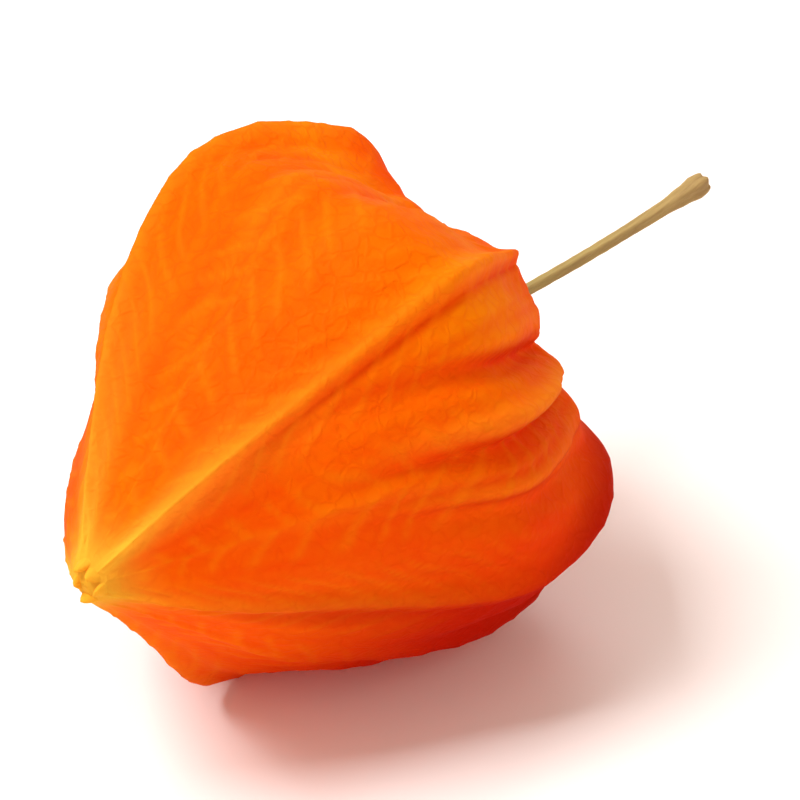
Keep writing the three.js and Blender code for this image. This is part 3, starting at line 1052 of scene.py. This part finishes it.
# Some layers are painted light and shade: amber on faces that look up, a highlight on fold ridges, and red
# shade in grooves, fine creases, on the low side, the shaded side and faces that look down.
# what is laid over the orange, in this order: colour, where, strength
HUSK_LAYERS = [
    (HUSK_AMBER, "up_facing_light", 0.36), (HUSK_DEEP, "streak", 0.30), (HUSK_AMBER, "blotch", 0.30),
    (HUSK_PALE, "pale", 0.95), (HUSK_DEEP, "rim", 0.30), (HUSK_DEEP, "groove", 0.30),
    (HUSK_RIDGE_HIGHLIGHT, "fold", 0.80), (HUSK_DEEP, "crease_shade", 0.60), (HUSK_NET, "net", 0.16),
    (HUSK_RIB, "vein", 0.30), (HUSK_RIB, "rib_line", 0.20), (HUSK_DEEP, "low_side_shade", 0.85),
    (HUSK_SHADE_RED, "shaded_side", 0.94), (HUSK_SHADE_RED, "down_facing_shade", 0.60), (HUSK_TIP, "tip_glow", 0.85),
]


def husk_colours(tree, masks):
    """Chain of all husk layers; a place that isn't among the masks is stored on the mesh."""
    colours = Colours(tree, HUSK_ORANGE)
    for colour, place, strength in HUSK_LAYERS:
        mask = masks[place] if place in masks else stored(tree, place)
        colours.lay(colour, mask, strength)
    return colours.last


def husk_finish():
    """Paper: a Principled surface with warm light coming through it."""
    material, tree, surface = new_material("papery husk")
    blotch, grain = skin_on(tree, *HUSK_SKIN)
    net = vein_net(tree)
    fold = stored(tree, "fold")
    # The fold height paints a highlight on the ridges and, turned round, painted shade in the grooves.
    colour = husk_colours(tree, {
        "blotch": blotch, "net": net, "fold": fold, "groove": times(tree, fold, -1.0),
    })
    tree.links.new(colour, surface.inputs["Base Color"])
    surface.inputs["Specular IOR Level"].default_value = HUSK_GLOSS
    rough = add_node(tree, "ShaderNodeMapRange")
    set_inputs(rough, To_Min=HUSK_ROUGHNESS[0], To_Max=HUSK_ROUGHNESS[1])
    tree.links.new(grain, rough.inputs["Value"])
    tree.links.new(rough.outputs["Result"], surface.inputs["Roughness"])
    heights = plus(tree, times(tree, net, NET_RAISE), times(tree, grain, GRAIN_RAISE))
    bump_node = add_node(tree, "ShaderNodeBump")
    set_inputs(bump_node, Strength=1.0, Distance=BUMP_MM * MM)
    tree.links.new(heights, bump_node.inputs["Height"])
    tree.links.new(bump_node.outputs["Normal"], surface.inputs["Normal"])
    glow = add_node(tree, "ShaderNodeBsdfTranslucent")
    warm = add_node(tree, "ShaderNodeMix", data_type="RGBA")
    warm.inputs[0].default_value = GLOW_WARMTH
    warm.inputs[7].default_value = HUSK_GLOW
    tree.links.new(colour, warm.inputs[6])
    tree.links.new(warm.outputs[2], glow.inputs["Color"])
    tree.links.new(bump_node.outputs["Normal"], glow.inputs["Normal"])
    paper = add_node(tree, "ShaderNodeMixShader")
    paper.inputs["Fac"].default_value = GLOW_SHARE
    tree.links.new(surface.outputs["BSDF"], paper.inputs[1])
    tree.links.new(glow.outputs["BSDF"], paper.inputs[2])
    tree.links.new(paper.outputs["Shader"], tree.nodes["Material Output"].inputs["Surface"])
    return material


husk.data.materials.append(husk_finish())
print("husk finish:", len(husk.data.materials[0].node_tree.nodes), "nodes")

# %% [markdown]
# ## Dry stalk
# The stalk is olive where it meets the husk and tan at the broken end. Its grain is the same
# plant skin, stretched about twelve to one along the stalk, so the blotches become fibres.

# %% Stalk finish
STALK_OLIVE = (0.34, 0.31, 0.09, 1)
STALK_TAN = (0.46, 0.31, 0.12, 1)
STALK_DARK = (0.22, 0.13, 0.05, 1)
TAN_SHARE = 0.8
DARK_SHARE = 0.45
STALK_SKIN = (1.3, 5.0, (1, 0.08, 1))
STALK_ROUGHNESS = 0.72
STALK_GLOSS = 0.3
STALK_BUMP_MM = 0.12


def stalk_finish():
    """Dry fibres that go from olive to tan along the stalk."""
    material, tree, surface = new_material("dry stalk")
    blotch, grain = skin_on(tree, *STALK_SKIN)
    colours = Colours(tree, STALK_OLIVE)
    colours.lay(STALK_TAN, stored(tree, "stalk_place"), TAN_SHARE)
    colours.lay(STALK_DARK, blotch, DARK_SHARE)
    tree.links.new(colours.last, surface.inputs["Base Color"])
    surface.inputs["Roughness"].default_value = STALK_ROUGHNESS
    surface.inputs["Specular IOR Level"].default_value = STALK_GLOSS
    bump_node = add_node(tree, "ShaderNodeBump")
    bump_node.inputs["Distance"].default_value = STALK_BUMP_MM * MM
    tree.links.new(grain, bump_node.inputs["Height"])
    tree.links.new(bump_node.outputs["Normal"], surface.inputs["Normal"])
    return material


stalk.data.materials.append(stalk_finish())
print("stalk finish:", len(stalk.data.materials[0].node_tree.nodes), "nodes")
